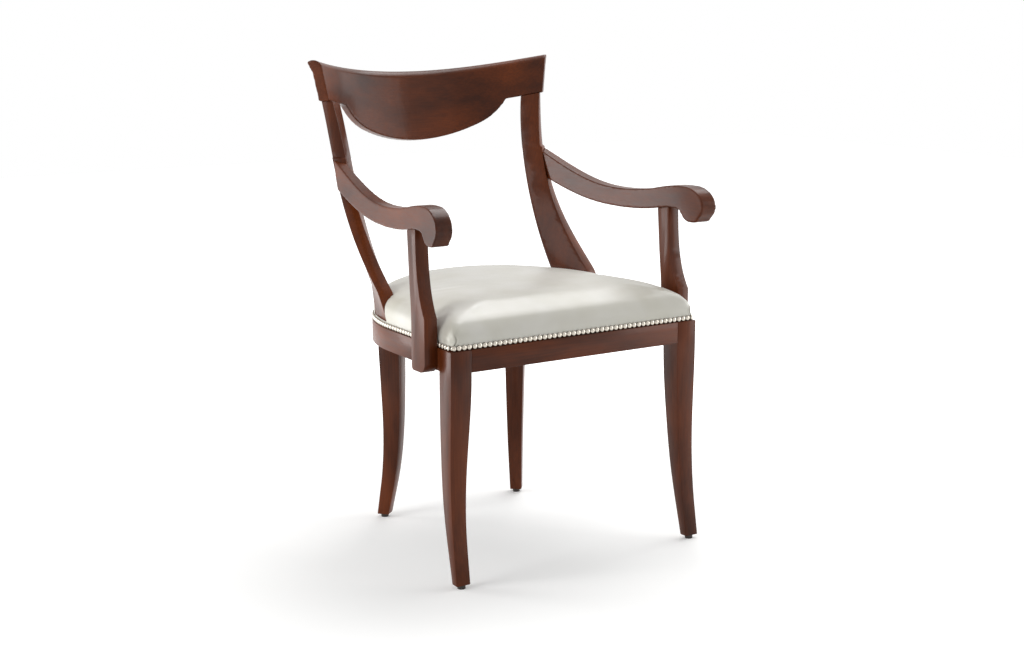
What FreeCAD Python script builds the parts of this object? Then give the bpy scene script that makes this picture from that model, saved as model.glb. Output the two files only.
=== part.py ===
import FreeCAD, Part
import math
import os
from FreeCAD import Vector

# Dining armchair in stained beech with a nailed leather seat.
# Millimetres, Z up. The chair faces -Y, and X is zero on its middle plane.
# Every piece is drawn round the centre of the seat's curved back, then all move together at the end
# so that the origin lies under the middle of the whole chair, on the floor.

# Seat frame, seen from above: a straight front, straight sides and a half ellipse at the back
seat_half_width = 264.0
seat_half_depth = 280.0
front_spread = 14.4
front_depth = 231.0
rail_top = 434.0
rail_height = 41.0
rail_thickness = 44.0
front_rail_thickness = 28.0
rebate_inset = 6.0
rebate_height = 12.0
corner_radius = 9.0

# Tenons, and the loose tongues of the other joints
tenon_thickness = 12.0
tenon_height = 26.0
tenon_length = 22.0
glue_room = 1.0
tongue_half_length = 22.0
rail_tongue_thickness = 5.0
rail_tongue_width = 22.0
stile_tongue_thickness = 8.0
stile_tongue_width = 36.0
crest_tongue_thickness = 6.0
crest_tongue_width = 20.0
arm_tongue_thickness = 6.0
arm_tongue_width = 26.0
arm_tongue_half_length = 15.4

# Front legs
leg_size = 44.0
front_foot_width = 28.0
front_foot_depth = 18.0
front_foot_sweep = 17.0
front_leg_hollow = 4.0

# Rear legs, turned to stand square to the curved rail
rear_leg_turn = 40.0
rear_foot_size = 24.0
rear_foot_sweep = 10.0
rear_leg_hollow = 6.5
rear_tenon_size = 20.0
rear_tenon_length = 30.0

# Glides
glide_radius = 7.5
glide_height = 7.0

# Back stiles
stile_foot_front = 25.0
stile_foot_length = 84.0
stile_swell = 6.0
stile_width = 29.0
stile_top_width = 21.0
stile_top_depth = 41.0
stile_overhang = 11.5
recess_depth = 4.0

# Crest rail
crest_radius = 401.0
crest_half_width = 264.6
crest_front = 362.0
crest_top = 884.5
crest_rise = 32.8
crest_thickness = 22.0
crest_shoulder = 66.0
crest_lobe = 129.2
crest_lean = 0.197
roll_depth = 30.0
roll_height = 9.6
lobe_half_width = 133.6
lobe_radius = 356.0
lobe_flank_radius = 122.0
lobe_flank_turn = 35.2
underside_tilt = 9.1
shoulder_slope = 0.096
end_flare = 3.0

# Arms and their supports
arm_front_width = 32.0
arm_rear_width = 20.5
arm_overhang = 3.0
arm_seat_height = 237.0
arm_thickness = 37.5
arm_back_rise = 56.0
arm_scroll_radius = 33.0
arm_scroll_front = 241.5
# Points of the scroll's round front: share of the radius forward of its centre and above it
scroll_points = [(-0.08, 1.01), (0.46, 0.78), (0.86, 0.4), (1.0, -0.06), (0.9, -0.46), (0.62, -0.79)]
support_thickness = 26.0
support_top_depth = 33.0
support_foot_depth = 52.0
support_foot_front = 181.0
support_drop = 5.0
support_reach = 16.0

# Upholstery
cover_gap = 0.3
leather = 1.6
cushion_crown = 78.0
corner_growth = 0.2
trim_height = 10.4
trim_thickness = 2.4
web_width = 50.0
web_thickness = 1.5
web_margin = 138.0
web_count = 4
notch_reach = 40.0
notch_depth = 0.5
cloth_thickness = 0.8
cloth_inset = 10.0

# Corner blocks
block_reach = 70.0
block_height = 28.0
rear_block_depth = 22.0
rear_block_length = 90.0


# Heights and lines that follow from the sizes above
front_half_width = seat_half_width + front_spread
rail_bottom = rail_top - rail_height
rebate_top = rail_top + rebate_height
leg_top_front = -front_depth
leg_top_back = -front_depth + leg_size + 1.0
turn = math.radians(rear_leg_turn)
tilt = math.radians(underside_tilt)
crest_centre = crest_front - crest_radius
crest_angle = math.asin(crest_half_width / crest_radius)
arm_level = rail_top + arm_seat_height
web_spacing = 2 * (seat_half_width - web_margin) / (web_count - 1)


def tangent_slope():
    """How much the straight side draws in for each millimetre towards the back."""
    px = front_half_width / seat_half_width
    py = -front_depth / seat_half_depth
    reach = math.hypot(px, py)
    angle = math.atan2(py, px) + math.acos(1.0 / reach)
    return seat_half_width / seat_half_depth * math.tan(angle)


side_slope = tangent_slope()


def oval(inset):
    return seat_half_width - inset, seat_half_depth - inset


def side_end(inset):
    """Point where the straight side of the seat meets the curved back."""
    a, b = oval(inset)
    reach = math.hypot(a, side_slope * b)
    return Vector(a * a / reach, side_slope * b * b / reach, 0)


def side_x(inset, y):
    """Distance from the middle plane to the straight side at one depth."""
    end = side_end(inset)
    return end.x + side_slope * (end.y - y)


def oval_point(inset, angle):
    """Point of the curved back whose outward direction makes this angle with +Y."""
    a, b = oval(inset)
    nx, ny = math.sin(angle), math.cos(angle)
    reach = math.hypot(a * nx, b * ny)
    return Vector(a * a * nx / reach, b * b * ny / reach, 0)


def oval_arc(inset):
    """Right half of the curved back, from the middle plane to the straight side."""
    a, b = oval(inset)
    long_axis, short_axis = Vector(0, b, 0), Vector(a, 0, 0)
    if a > b:
        long_axis, short_axis = short_axis, long_axis
    ellipse = Part.Ellipse(long_axis, short_axis, Vector(0, 0, 0))
    ends = [ellipse.parameter(Vector(0, b, 0)), ellipse.parameter(side_end(inset))]
    if a > b:
        ends.reverse()
    return Part.ArcOfEllipse(ellipse, ends[0], ends[1]).toShape()


def mirrored(shape):
    return shape.mirror(Vector(0, 0, 0), Vector(1, 0, 0))


def joined(edges):
    return Part.Wire(Part.__sortEdges__(edges))


def prism(wire, bottom, top):
    solid = Part.Face(wire).extrude(Vector(0, 0, top - bottom))
    solid.translate(Vector(0, 0, bottom))
    return solid


def half_ring(outer, inner, bottom, top, front):
    """Right half of the rail, between two insets, from a straight front end to the middle plane."""
    out_end, in_end = side_end(outer), side_end(inner)
    corners = [Vector(side_x(outer, front), front, 0), Vector(side_x(inner, front), front, 0)]
    edges = [
        Part.makeLine(corners[0], out_end),
        oval_arc(outer),
        Part.makeLine(Vector(0, seat_half_depth - outer, 0), Vector(0, seat_half_depth - inner, 0)),
        oval_arc(inner),
        Part.makeLine(in_end, corners[1]),
        Part.makeLine(corners[1], corners[0]),
    ]
    return prism(joined(edges), bottom, top)


def seat_outline(inset, radius, height=0.0):
    """Closed outline of the whole seat at one inset, with rounded front corners."""
    front = -front_depth + inset
    side = Vector(side_slope, -1.0, 0).normalize()
    corner = Vector(side_x(inset, front), front, 0)
    half_angle = (math.pi / 2 + math.atan(side_slope)) / 2
    cut = radius / math.tan(half_angle)
    start = corner - side * cut
    end = corner - Vector(cut, 0, 0)
    bisector = ((start - corner) + (end - corner)).normalize()
    middle = corner + bisector * (radius / math.sin(half_angle) - radius)
    half = [
        oval_arc(inset),
        Part.makeLine(side_end(inset), start),
        Part.Arc(start, middle, end).toShape(),
    ]
    other = [mirrored(edge) for edge in half]
    wire = joined(half + other + [Part.makeLine(end, Vector(-end.x, end.y, 0))])
    wire.translate(Vector(0, 0, height))
    return wire


def beyond(point, direction, reach=2000.0):
    """A large block on the far side of a plane, used to cut a piece off along it."""
    block = Part.makeBox(reach, reach, reach, Vector(-reach / 2, -reach / 2, 0))
    block.Placement = FreeCAD.Placement(point, FreeCAD.Rotation(Vector(0, 0, 1), direction))
    return block


def smooth(points, first=None, last=None):
    """Smooth edge through a few points, with its direction given at an end where that matters."""
    spline = Part.BSplineCurve()
    if first or last:
        directions = [first or points[1] - points[0], last or points[-1] - points[-2]]
        spline.interpolate(Points=points, InitialTangent=directions[0], FinalTangent=directions[1])
    else:
        spline.interpolate(points)
    return spline.toShape()


def tongue(centre, along, flat, size):
    """Loose tongue in a joint: its length runs along one direction and its flat side faces another."""
    thickness, width, length = size
    piece = Part.makeBox(thickness, width, length, Vector(-thickness / 2, -width / 2, -length / 2))
    lie = FreeCAD.Rotation(flat, along.cross(flat), along, "ZXY")
    piece.Placement = FreeCAD.Placement(centre, lie)
    return piece


# The rail's plane of joint, over the rear leg
joint_out = Vector(math.sin(turn), math.cos(turn), 0)
joint_along = Vector(math.cos(turn), -math.sin(turn), 0)
joint_point = oval_point(0, turn)
rear_leg_centre = joint_point - joint_out * (leg_size / 2)


def curved_rail():
    """Right half of the seat rail, with the rebate that takes the leather and its nails."""
    body = half_ring(0, rail_thickness, rail_bottom, rail_top, leg_top_back)
    tongue = half_ring(rebate_inset, rail_thickness, rail_top, rebate_top, leg_top_back)
    return body.fuse(tongue).removeSplitter()


def rear_leg_tenon(extra=0.0):
    """Square tenon on top of the rear leg, in the joint of the two rails."""
    length = rear_tenon_length + extra
    centre = Vector(rear_leg_centre.x, rear_leg_centre.y, rail_bottom + length / 2)
    return tongue(centre, Vector(0, 0, 1), joint_out, (rear_tenon_size, rear_tenon_size, length))


def rail_tongues():
    """Two tongues across the joint of side rail and back rail, one each side of the leg's tenon."""
    spread = (rail_thickness / 2 + rear_tenon_size / 2) / 2 - 1.0
    middle = rail_top - rail_height / 2
    size = (rail_tongue_thickness, rail_tongue_width, 2 * tongue_half_length)
    made = []
    for side in (-1, 1):
        centre = rear_leg_centre + joint_out * (side * spread) + Vector(0, 0, middle)
        made.append(tongue(centre, joint_along, joint_out, size))
    return made


def side_rail_tenon(extra=0.0):
    """Tenon on the front end of the side rail, in the back of the front leg."""
    middle = (side_x(0, leg_top_back) + side_x(rail_thickness, leg_top_back)) / 2
    low = rail_top - (rail_height + tenon_height) / 2
    corner = Vector(middle - tenon_thickness / 2, leg_top_back - tenon_length - extra, low)
    return Part.makeBox(tenon_thickness, tenon_length + extra, tenon_height, corner)


def front_rail_tenon(extra=0.0):
    """Tenon on the right end of the front rail, in the inner face of the front leg."""
    inner = front_half_width - leg_size
    low = rail_top - (rail_height + tenon_height) / 2
    middle = -front_depth + front_rail_thickness / 2
    corner = Vector(inner, middle - tenon_thickness / 2, low)
    length = tenon_length / 2 + extra
    return Part.makeBox(length, tenon_thickness, tenon_height, corner)


def front_rail():
    inner = front_half_width - leg_size
    body = Part.makeBox(2 * inner, front_rail_thickness, rail_height,
                        Vector(-inner, -front_depth, rail_bottom))
    tongue = Part.makeBox(2 * inner, front_rail_thickness - rebate_inset, rebate_height,
                          Vector(-inner, -front_depth + rebate_inset, rail_top))
    tenon = front_rail_tenon()
    return body.multiFuse([tongue, tenon, mirrored(tenon)]).removeSplitter()


def front_leg():
    """Right front leg: a sabre curve seen from the side, drawn in towards the foot seen from the front."""
    foot = glide_height
    front, back = leg_top_front, leg_top_back
    outer, inner = front_half_width, front_half_width - leg_size
    toe = front - front_foot_sweep
    height = rail_bottom - foot
    down = Vector(0, 0, -1)
    front_line = [
        Vector(0, front, rail_bottom),
        Vector(0, front + front_leg_hollow, foot + height * 0.54),
        Vector(0, front - front_foot_sweep * 0.18, foot + height * 0.23),
        Vector(0, toe, foot),
    ]
    heel = toe + front_foot_depth
    back_line = [
        Vector(0, back, rail_bottom),
        Vector(0, back - (back - heel) * 0.09, foot + height * 0.6),
        Vector(0, back - (back - heel) * 0.33, foot + height * 0.32),
        Vector(0, heel, foot),
    ]
    profile = [
        smooth(front_line, down),
        Part.makeLine(front_line[-1], back_line[-1]),
        smooth(back_line, down),
        Part.makeLine(back_line[0], Vector(0, back, rail_top)),
        Part.makeLine(Vector(0, back, rail_top), Vector(0, front, rail_top)),
        Part.makeLine(Vector(0, front, rail_top), front_line[0]),
    ]
    side = Part.Face(joined(profile)).extrude(Vector(outer + 20, 0, 0))
    narrowing = leg_size - front_foot_width
    inner_line = [
        Vector(inner, 0, rail_bottom),
        Vector(inner + narrowing * 0.45, 0, foot + height * 0.6),
        Vector(inner + narrowing * 0.85, 0, foot + height * 0.3),
        Vector(inner + narrowing, 0, foot),
    ]
    across = [
        smooth(inner_line, down),
        Part.makeLine(inner_line[-1], Vector(outer + 10, 0, foot)),
        Part.makeLine(Vector(outer + 10, 0, foot), Vector(outer + 10, 0, rail_top)),
        Part.makeLine(Vector(outer + 10, 0, rail_top), Vector(inner, 0, rail_top)),
        Part.makeLine(Vector(inner, 0, rail_top), inner_line[0]),
    ]
    front_view = Part.Face(joined(across)).extrude(Vector(0, 2 * front_depth, 0))
    front_view.translate(Vector(0, -2 * front_depth, 0))
    leg = side.common(front_view)
    corner = Vector(side_x(0, leg_top_front), leg_top_front, 0)
    leg = leg.cut(beyond(corner, Vector(1, side_slope, 0)))
    rebated = prism(seat_outline(rebate_inset, corner_radius - rebate_inset), rail_top, rebate_top)
    post = Part.makeBox(leg_size, back - front, rebate_height, Vector(inner, front, rail_top))
    leg = leg.fuse(post.common(rebated)).removeSplitter()
    return leg.cut(side_rail_tenon(glue_room)).cut(front_rail_tenon(glue_room))


def rear_leg():
    """Right rear leg, drawn in its own upright plane and then turned to stand under the curved rail."""
    foot = glide_height
    height = rail_bottom - foot
    down = Vector(0, 0, -1)
    heel_out = rear_foot_sweep
    outer_line = [
        Vector(0, 0, rail_bottom),
        Vector(0, -rear_leg_hollow, foot + height * 0.5),
        Vector(0, -rear_leg_hollow * 0.4, foot + height * 0.24),
        Vector(0, heel_out, foot),
    ]
    toe = heel_out - rear_foot_size
    inner_line = [
        Vector(0, -leg_size, rail_bottom),
        Vector(0, -leg_size + 2.0, foot + height * 0.5),
        Vector(0, -leg_size + (toe + leg_size) * 0.38, foot + height * 0.24),
        Vector(0, toe, foot),
    ]
    profile = [
        smooth(outer_line, down),
        Part.makeLine(outer_line[-1], inner_line[-1]),
        smooth(inner_line, down),
        Part.makeLine(inner_line[0], outer_line[0]),
    ]
    side = Part.Face(joined(profile)).extrude(Vector(leg_size, 0, 0))
    side.translate(Vector(-leg_size / 2, 0, 0))
    narrowing = (leg_size - rear_foot_size) / 2
    flank = [
        Vector(leg_size / 2, 0, rail_bottom),
        Vector(leg_size / 2 - narrowing * 0.5, 0, foot + height * 0.5),
        Vector(leg_size / 2 - narrowing, 0, foot),
    ]
    right_flank = smooth(flank)
    across = [
        right_flank,
        mirrored(right_flank),
        Part.makeLine(flank[-1], Vector(-flank[-1].x, 0, foot)),
        Part.makeLine(flank[0], Vector(-flank[0].x, 0, rail_bottom)),
    ]
    front_view = Part.Face(joined(across)).extrude(Vector(0, 6 * leg_size, 0))
    front_view.translate(Vector(0, -3 * leg_size, 0))
    leg = side.common(front_view)
    leg.rotate(Vector(0, 0, 0), Vector(0, 0, 1), -rear_leg_turn)
    leg.translate(joint_point)
    return leg.fuse(rear_leg_tenon()).removeSplitter()


def front_glide_place():
    inner_foot = front_half_width - front_foot_width
    return Vector(inner_foot + front_foot_width / 2,
                  leg_top_front - front_foot_sweep + front_foot_depth / 2, 0)


def rear_glide_place():
    return joint_point + joint_out * (rear_foot_sweep - rear_foot_size / 2)


def glide(place):
    """Round disc knocked into the end grain of the foot."""
    return Part.makeCylinder(glide_radius, glide_height, place)


def crest_face(across, drop):
    """Point on the crest rail's front face, at one distance from the middle and below its top edge."""
    radius = crest_radius - crest_lean * drop
    return Vector(across, crest_centre + math.sqrt(radius ** 2 - across ** 2), 0)


# The stile's front corner starts on the rail and ends flush with the crest rail's face. Each station
# gives how far up the stile it lies, how far the corner has moved out and swept back, as shares of
# the whole way, the turn of the section, its width and its depth.
stile_top = crest_top + crest_rise - crest_shoulder - 1.0
stile_foot_corner = Vector(seat_half_width - rebate_inset - stile_width - 1.0, stile_foot_front, 0)
stile_top_corner = crest_face(crest_half_width - stile_overhang, crest_shoulder)
stile_stations = [
    (0.00, 0.00, 0.00, 13.5, stile_width, stile_foot_length),
    (0.126, 0.05, 0.145, 22.0, stile_width - 0.5, stile_foot_length + stile_swell),
    (0.28, 0.06, 0.434, 28.0, stile_width - 1.0, stile_foot_length - 16.0),
    (0.48, 0.06, 0.705, 36.5, stile_width - 1.5, stile_top_depth + 8.0),
    (0.675, 0.18, 0.857, 42.0, stile_width - 2.0, stile_top_depth + 2.5),
    (1.05, 1.03, 1.019, 52.0, stile_top_width, stile_top_depth),
]


def stile_corner(share, out, sweep):
    """Front corner of the stile's section, at shares of its height, its way out and its way back."""
    reach = stile_top_corner - stile_foot_corner
    height = rebate_top + share * (stile_top - rebate_top)
    return stile_foot_corner + Vector(reach.x * out, reach.y * sweep, height)


def stile_frame(height):
    """Front corner, turn, width and depth of the stile at any height, between two stations."""
    share = (height - rebate_top) / (stile_top - rebate_top)
    for low, high in zip(stile_stations, stile_stations[1:]):
        if share <= high[0]:
            break
    part = (share - low[0]) / (high[0] - low[0])
    values = [a + (b - a) * part for a, b in zip(low, high)]
    return stile_corner(*values[:3]), math.radians(values[3]), values[4], values[5]


def stile_directions(angle):
    return Vector(math.cos(angle), math.sin(angle), 0), Vector(-math.sin(angle), math.cos(angle), 0)


def stile_section(station, grow=0.0, front=0.0, beside=0.0):
    """Four corners of the stile at one height, as a closed outline."""
    outward, backward = stile_directions(math.radians(station[3]))
    start = stile_corner(*station[:3]) - outward * grow - backward * (grow - front)
    across = outward * (station[4] + 2 * grow + beside)
    deep = backward * (station[5] + 2 * grow - front)
    corners = [start, start + across, start + across + deep, start + deep]
    return Part.makePolygon(corners + corners[:1])


def stile_blank(grow=0.0, front=0.0, beside=0.0):
    """The whole stile: a nearly upright foot, and above the seat a long sweep back to the crest."""
    sections = [stile_section(station, grow, front, beside) for station in stile_stations]
    foot = Part.makeLoft(sections[:2], True)
    return foot.fuse(Part.makeLoft(sections[1:], True))


def shoulder_plane():
    """A point of the crest rail's shoulder and the upward direction square to its underside."""
    point = Vector(crest_half_width, shoulder_y(), crest_top + crest_rise - crest_shoulder)
    along = Vector(-1.0, 0, -shoulder_slope)
    through = Vector(0, math.cos(tilt), -math.sin(tilt))
    return point, through.cross(along).normalize()


def shoulder_y():
    return crest_face(crest_half_width, crest_shoulder).y


def stile_tongue(extra=0.0):
    """Upright tongue that holds the foot of the stile on the rail."""
    corner, angle, width, depth = stile_frame(rebate_top)
    outward, backward = stile_directions(angle)
    size = (stile_tongue_thickness, stile_tongue_width, 2 * (tongue_half_length + extra))
    return tongue(corner + outward * (width / 2) + backward * (depth / 2), Vector(0, 0, 1), outward, size)


def crest_tongue(extra=0.0):
    """Tongue from the top of the stile into the shoulder of the crest rail, leaning as they both do."""
    corner, angle, width, depth = stile_frame(stile_top)
    outward, backward = stile_directions(angle)
    along = (outward * crest_lean + Vector(0, 0, 1)).normalize()
    flat = (outward - Vector(0, 0, 1) * crest_lean).normalize()
    size = (crest_tongue_thickness, crest_tongue_width, 2 * (tongue_half_length + extra))
    return tongue(corner + outward * (width / 2) + backward * (depth / 2), along, flat, size)


def arm_plan():
    """Inner and outer corner of the arm at the stile, and the lines they follow to the scroll."""
    corner = stile_frame(arm_level + arm_back_rise)[0]
    middle = -support_foot_front + support_foot_depth / 2
    rear_in = Vector(corner.x, corner.y, 0)
    rear_out = rear_in + Vector(arm_rear_width, 0, 0)
    front_out = Vector(side_x(0, middle) + support_thickness + arm_overhang, middle, 0)
    front_in = front_out - Vector(arm_front_width, 0, 0)
    return rear_in, rear_out, front_in - rear_in, front_out - rear_out


def arm_tongue(extra=0.0):
    """Tongue between the stile and the end of the arm, along the arm's own line."""
    forward = arm_plan()[2].normalize()
    height = arm_level + arm_back_rise * 0.535
    corner, angle, width, depth = stile_frame(height)
    centre = corner + stile_directions(angle)[0] * (width * 0.42)
    size = (arm_tongue_thickness, arm_tongue_width, 2 * (arm_tongue_half_length + extra))
    return tongue(centre, forward, forward.cross(Vector(0, 0, 1)), size)


def back_stile():
    """Right back stile, which turns as it rises so that it meets the curved crest rail flush."""
    point, upward = shoulder_plane()
    stile = stile_blank().cut(beyond(point, upward)).cut(stile_recess())
    for socket in (stile_tongue(glue_room), crest_tongue(glue_room), arm_tongue(glue_room)):
        stile = stile.cut(socket)
    return stile


def stile_recess():
    """Shallow sunk field on the outer face of the stile, from just above the arm to the crest rail."""
    corner, angle, width, depth = stile_frame(arm_level + arm_back_rise + 8.0)
    outward, backward = stile_directions(angle)
    above = beyond(corner, backward * -0.6 + Vector(0, 0, 0.8))
    return above.cut(stile_blank(1.0, recess_depth + 1.0))


crest_section_count = 5
roll_flats = 6


def crest_section(angle):
    """Upright section of the crest rail: leaning face, top planed round and undercut back."""
    share = angle / crest_angle
    flare = math.tan(math.radians(end_flare)) * share
    top = crest_top + crest_rise * (math.sin(angle) / math.sin(crest_angle)) ** 2
    out = Vector(math.sin(angle), math.cos(angle), 0)
    along = Vector(math.cos(angle), -math.sin(angle), 0)
    centre = Vector(0, crest_centre, 0)

    def place(depth, rise):
        level = Vector(0, 0, top + rise)
        return centre + out * (crest_radius + depth) + along * (rise * flare) + level

    deep = crest_lobe + 40.0
    curl = roll_depth * 0.52
    face_in = -crest_lean * deep
    notch = crest_thickness - crest_lean * curl
    arc = Part.Arc(place(0, 0), place(roll_depth * 0.48, roll_height), place(roll_depth, roll_height * 0.5))
    roll = arc.toShape().discretize(roll_flats + 1)
    edges = [Part.makeLine(here, there) for here, there in zip(roll, roll[1:])] + [
        Part.makeLine(place(roll_depth, roll_height * 0.5), place(notch, -curl)),
        Part.makeLine(place(notch, -curl), place(face_in + crest_thickness, -deep)),
        Part.makeLine(place(face_in + crest_thickness, -deep), place(face_in, -deep)),
        Part.makeLine(place(face_in, -deep), place(0, 0)),
    ]
    return joined(edges)


def crest_outline():
    """Front outline of the crest rail: level shoulders at the ends and a hanging lobe between them."""
    reference = shoulder_y()
    low_face = crest_front - crest_lean * crest_lobe
    bottom = crest_top - crest_lobe + math.tan(tilt) * (low_face - reference)
    half_angle = math.asin(lobe_half_width / lobe_radius)
    lobe_end = Vector(lobe_half_width, 0, bottom + lobe_radius * (1 - math.cos(half_angle)))
    lobe = Part.Arc(Vector(-lobe_end.x, 0, lobe_end.z), Vector(0, 0, bottom), lobe_end).toShape()
    centre = lobe_end + Vector(-math.sin(half_angle), 0, math.cos(half_angle)) * lobe_flank_radius
    flank = []
    for share in (0.5, 1.0):
        angle = half_angle + math.radians(lobe_flank_turn) * share
        flank.append(centre + Vector(math.sin(angle), 0, -math.cos(angle)) * lobe_flank_radius)
    point, upward = shoulder_plane()
    start = Vector(flank[1].x + 3.0, 0, 0)
    start.z = point.z - (point.x - start.x) * shoulder_slope
    far = Vector(crest_half_width + 60.0, 0, 0)
    far.z = point.z + (far.x - point.x) * shoulder_slope
    ceiling = Vector(far.x, 0, crest_top + crest_rise + 60.0)
    right = [
        Part.Arc(lobe_end, flank[0], flank[1]).toShape(),
        Part.makeLine(flank[1], start),
        Part.makeLine(start, far),
        Part.makeLine(far, ceiling),
    ]
    left = [mirrored(edge) for edge in right]
    lid = Part.makeLine(ceiling, Vector(-ceiling.x, 0, ceiling.z))
    face = Part.Face(joined([lobe] + right + left + [lid]))
    through = Vector(0, math.cos(tilt), -math.sin(tilt))
    block = face.extrude(through * crest_radius * 1.25)
    block.translate(Vector(0, reference, 0) - through * crest_radius * 0.5)
    return block


def crest_rail():
    steps = crest_section_count - 1
    angles = [crest_angle * (2.0 * step / steps - 1.0) for step in range(crest_section_count)]
    rail = Part.makeLoft([crest_section(angle) for angle in angles], True)
    rail = rail.common(crest_outline())
    socket = crest_tongue(glue_room)
    return rail.cut(socket).cut(mirrored(socket))


def arm_profile():
    """Side view of the arm: it sweeps down from the stile, runs level and rolls over in a scroll."""
    low = arm_level - arm_thickness
    rise = arm_back_rise
    back = stile_frame(arm_level + rise)[0].y
    radius = arm_scroll_radius
    centre = Vector(0, -arm_scroll_front + radius, arm_level - radius / 2)
    run = back - centre.y

    def along(share, height):
        """Point at one share of the way from the stile to the scroll."""
        return Vector(0, back - run * share, height)

    top_line = [
        along(-0.09, arm_level + rise * 1.25),
        along(0.0, arm_level + rise),
        along(0.21, arm_level + rise * 0.42),
        along(0.425, arm_level + rise * 0.045),
        along(0.56, arm_level),
        along(0.753, centre.z + radius * 0.725),
        centre + Vector(0, radius * 0.82, radius * 1.06),
    ]
    under_line = [
        centre + Vector(0, radius * 0.88, -radius * 0.36),
        centre + Vector(0, radius * 1.5, -radius * 0.27),
        centre + Vector(0, radius * 2.8, -radius * 0.42),
        along(0.522, low),
        along(0.354, low + rise * 0.09),
        along(0.141, low + rise * 0.44),
        along(-0.09, low + rise),
    ]
    chin = centre + Vector(0, -radius * 0.15, -radius)
    scroll_line = [centre + Vector(0, -radius * forward, radius * above) for forward, above in scroll_points]
    neck = centre + Vector(0, radius * 0.58, -radius * 0.76)
    edges = [
        smooth(top_line, top_line[1] - top_line[0], Vector(0, -1, 0)),
        smooth(top_line[-1:] + scroll_line + [chin], Vector(0, -1, 0), Vector(0, 1, 0)),
        Part.Arc(chin, centre + Vector(0, radius * 0.25, -radius * 0.96), neck).toShape(),
        Part.makeLine(neck, under_line[0]),
        smooth(under_line),
        Part.makeLine(under_line[-1], top_line[0]),
    ]
    return joined(edges)


def arm_blank():
    """The arm seen from above tapers from the scroll to the stile and is splayed outwards."""
    rear_in, rear_out, inner, outer = arm_plan()
    corners = [rear_in - inner * 0.2, rear_out - outer * 0.2, rear_out + outer * 1.3,
               rear_in + inner * 1.3]
    plan = prism(Part.makePolygon(corners + corners[:1]), arm_level - 100.0, arm_level + 150.0)
    side = Part.Face(arm_profile()).extrude(Vector(200.0, 0, 0))
    side.translate(Vector(rear_in.x - 60.0, 0, 0))
    return side.common(plan)


def arm():
    piece = arm_blank().cut(stile_blank(beside=notch_reach))
    piece = sorted(piece.Solids, key=lambda solid: solid.Volume)[-1].cut(support_tenon(glue_room))
    return piece.cut(arm_tongue(glue_room))


def support_profile():
    """Side view of the arm support: slim at the top, swelling forward to a foot lapped on the rail."""
    top = arm_level - arm_thickness + support_reach
    back = -support_foot_front + support_foot_depth
    knee = rail_top + 53.0
    bottom = rail_bottom - support_drop
    top_back = back + 14.0
    top_front = top_back - support_top_depth
    front = -support_foot_front
    round_front, round_back = 20.0, 8.0
    front_line = [
        Vector(0, top_front, top),
        Vector(0, top_front - 3.0, top - 60.0),
        Vector(0, top_front - 15.0, knee + 38.0),
        Vector(0, front, knee),
    ]
    back_line = [
        Vector(0, top_back, top),
        Vector(0, top_back - 9.0, top - 110.0),
        Vector(0, back, rail_top + 40.0),
    ]
    down = Vector(0, 0, -1)
    slope = math.sqrt(0.5)
    corner = Vector(0, front + round_front * (1 - slope), bottom + round_front * (1 - slope))
    heel = Vector(0, back - round_back * (1 - slope), bottom + round_back * (1 - slope))
    edges = [
        smooth(front_line),
        Part.makeLine(front_line[-1], Vector(0, front, bottom + round_front)),
        Part.Arc(Vector(0, front, bottom + round_front), corner,
                 Vector(0, front + round_front, bottom)).toShape(),
        Part.makeLine(Vector(0, front + round_front, bottom), Vector(0, back - round_back, bottom)),
        Part.Arc(Vector(0, back - round_back, bottom), heel,
                 Vector(0, back, bottom + round_back)).toShape(),
        Part.makeLine(Vector(0, back, bottom + round_back), back_line[-1]),
        smooth(back_line, None, down),
        Part.makeLine(back_line[0], front_line[0]),
    ]
    return joined(edges)


def support_blank():
    blank = Part.Face(support_profile()).extrude(Vector(support_thickness, 0, 0))
    centre_y = -support_foot_front + support_foot_depth / 2
    blank.translate(Vector(side_x(0, centre_y), 0, 0))
    blank.rotate(Vector(side_x(0, centre_y), centre_y, 0), Vector(0, 0, 1),
                 math.degrees(math.atan(side_slope)))
    return blank


def support_tenon(extra=0.0):
    """Round-cornered tenon on top of the support, in the underside of the arm."""
    centre_y = -support_foot_front + support_foot_depth + 14.0 - support_top_depth / 2
    place = Vector(side_x(0, centre_y) + support_thickness / 2, centre_y, arm_level - arm_thickness - 14.0)
    tenon = Part.makeBox(tenon_thickness, tenon_length, 32.0 + extra,
                         place - Vector(tenon_thickness / 2, tenon_length / 2, 0))
    tenon.rotate(place, Vector(0, 0, 1), math.degrees(math.atan(side_slope)))
    return tenon


def arm_support():
    support = support_blank().cut(arm_blank())
    support = sorted(support.Solids, key=lambda solid: solid.Volume)[-1]
    return support.fuse(support_tenon()).removeSplitter()


def side_rail():
    """Right side rail, from the front leg round to the joint over the rear leg."""
    rail = curved_rail().cut(beyond(joint_point, joint_along * -1.0))
    rail = rail.fuse(side_rail_tenon()).removeSplitter()
    for socket in rail_tongues() + [stile_tongue(glue_room), rear_leg_tenon(glue_room)]:
        rail = rail.cut(socket)
    return rail


def back_rail():
    """Bowed back rail, between the joints over the two rear legs."""
    half = curved_rail().cut(beyond(joint_point, joint_along))
    for socket in rail_tongues() + [rear_leg_tenon(glue_room)]:
        half = half.cut(socket)
    return half.fuse(mirrored(half)).removeSplitter()


def block_bottom():
    return rail_bottom + (rail_height - block_height) / 2


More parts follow.
